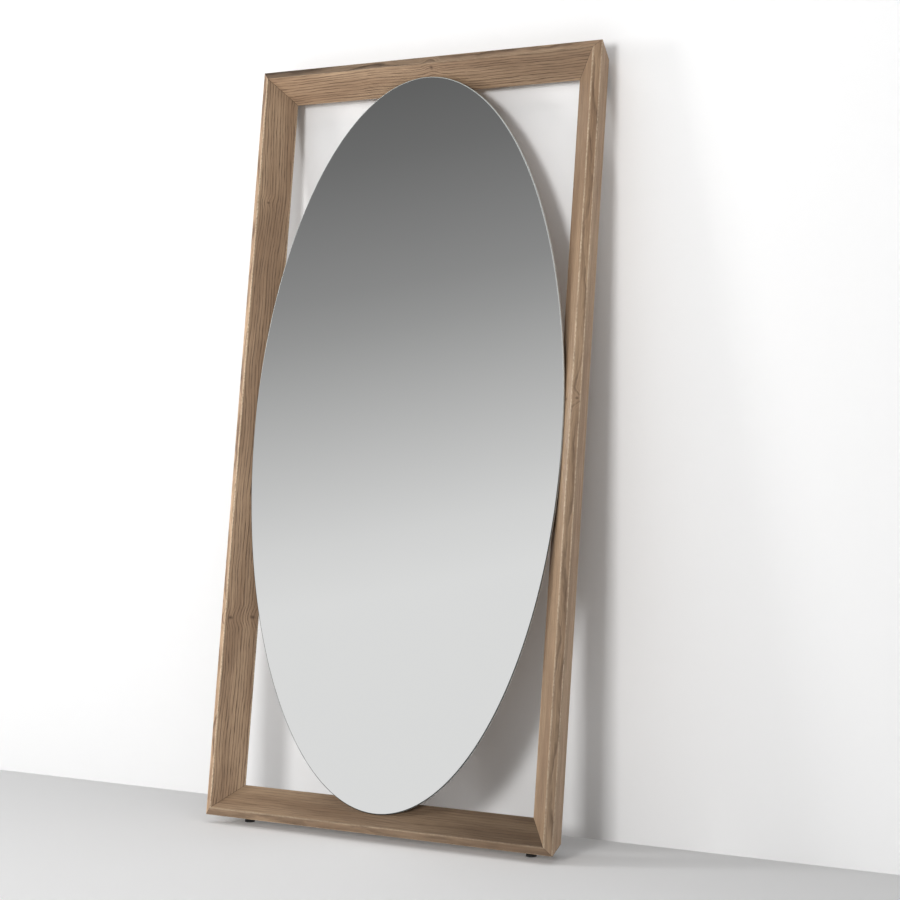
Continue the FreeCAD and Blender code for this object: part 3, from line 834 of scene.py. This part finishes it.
# The wall is clear from its back, so that it doesn't hide the frame in views from behind, and
# it neither shades nor lights the rest.
wall_paint = Shader("wall_paint", Base_Color=PAINT, Roughness=0.8)
from_behind = wall_paint.put("NewGeometry", {}, "Backfacing")
clear = wall_paint.put("BsdfTransparent", {})
one_way = {0: from_behind, 1: wall_paint.surface.outputs[0], 2: clear}
wall_paint.tree.links.new(wall_paint.put("MixShader", one_way), wall_paint.shown)
wall_y = cad_high.y + WALL_GAP
wall = stage_plane(
    "studio_wall",
    [(-WALL_HALF, wall_y, 0), (WALL_HALF, wall_y, 0), (WALL_HALF, wall_y, WALL_TALL),
     (-WALL_HALF, wall_y, WALL_TALL)],
    wall_paint.material,
)
wall.visible_shadow = False
wall.visible_diffuse = False


# ---------------------------------------------------------------- light

# Brightness of the studio round the object against the height a ray rises to, with more
# of the dark ceiling to either side.
SKY = [
    (0.33, 0.738), (0.36, 0.673), (0.46, 0.319), (0.48, 0.262), (0.50, 0.225), (0.54, 0.157),
    (0.57, 0.125), (0.62, 0.11),
]
SIDE_SHARE = 0.38
SIDE_BLEND = 0.01

world = bpy.data.worlds.new("studio")
bpy.context.scene.world = world
world.use_nodes = True
sky = Graph(world.node_tree)
ray = sky.put("SeparateXYZ", {"Vector": sky.put("TexCoord", {}, "Generated")}).node.outputs
eased = sky.math("SQRT", sky.add(sky.times(ray["X"], ray["X"]), SIDE_BLEND))
rise = sky.add(ray["Z"], sky.times(eased, SIDE_SHARE))
brightness = sky.put("ValToRGB", {"Fac": rise}, "Color")
sky.show("OutputWorld", sky.put("Background", {"Color": brightness}))
stops = brightness.node.color_ramp.elements
while len(stops) < len(SKY):
    stops.new(0.5)
for stop, (position, level) in zip(stops, SKY):
    stop.position = position
    stop.color = grey(level)


def softbox(name, location, target, size, power):
    """A rectangular area light that faces its target."""
    data = bpy.data.lights.new(name, "AREA")
    data.shape = "RECTANGLE"
    data.size, data.size_y = size
    data.energy = power
    lamp = bpy.data.objects.new(name, data)
    bpy.context.scene.collection.objects.link(lamp)
    lamp.location = location
    lamp.rotation_euler = (Vector(target) - Vector(location)).to_track_quat("-Z", "Y").to_euler()
    return lamp


softbox("front_light", location=(0.60, -5.0, 1.65), target=(0.0, 0.17, 1.0), size=(0.9, 0.9), power=120)
softbox("left_light", location=(-3.5, -2.1, 1.9), target=(0.0, 0.17, 1.0), size=(0.75, 1.1), power=56)
overhead = softbox(
    "overhead_light", location=(0.0, -1.4, 4.8), target=(0.0, -1.2, 0.0), size=(6.0, 2.6), power=76)
overhead.visible_glossy = False

# The back light is for views from behind, so it lights the object alone and not the room.
lit_from_behind = bpy.data.collections.new("lit_from_behind")
for thing in bpy.context.scene.objects:
    if thing.type == "MESH" and thing not in (floor, wall):
        lit_from_behind.objects.link(thing)
back_light = softbox(
    "back_light", location=(2.4, 4.0, 2.2), target=(0.0, 0.0, 1.0), size=(1.6, 1.6), power=45)
back_light.visible_glossy = False
back_light.light_linking.receiver_collection = lit_from_behind


# ---------------------------------------------------------------- camera

CAMERA_PLACE = (2.5625, -4.3246, 1.0002)
CAMERA_FORWARD = (-0.4909, 0.8712, -0.0061)
CAMERA_RIGHT = (0.8712, 0.4909, 0.008)
LENS_MM = 79.36
SENSOR_MM = 36.0

camera_data = bpy.data.cameras.new("camera")
camera_data.lens = LENS_MM
camera_data.sensor_width = SENSOR_MM
camera = bpy.data.objects.new("camera", camera_data)
bpy.context.scene.collection.objects.link(camera)
forward = Vector(CAMERA_FORWARD).normalized()
right = Vector(CAMERA_RIGHT)
right = (right - forward * right.dot(forward)).normalized()
turn = Matrix((right, right.cross(forward), -forward)).transposed()
camera.matrix_world = Matrix.Translation(CAMERA_PLACE) @ turn.to_4x4()
bpy.context.scene.camera = camera
bpy.context.scene.view_settings.view_transform = "Standard"
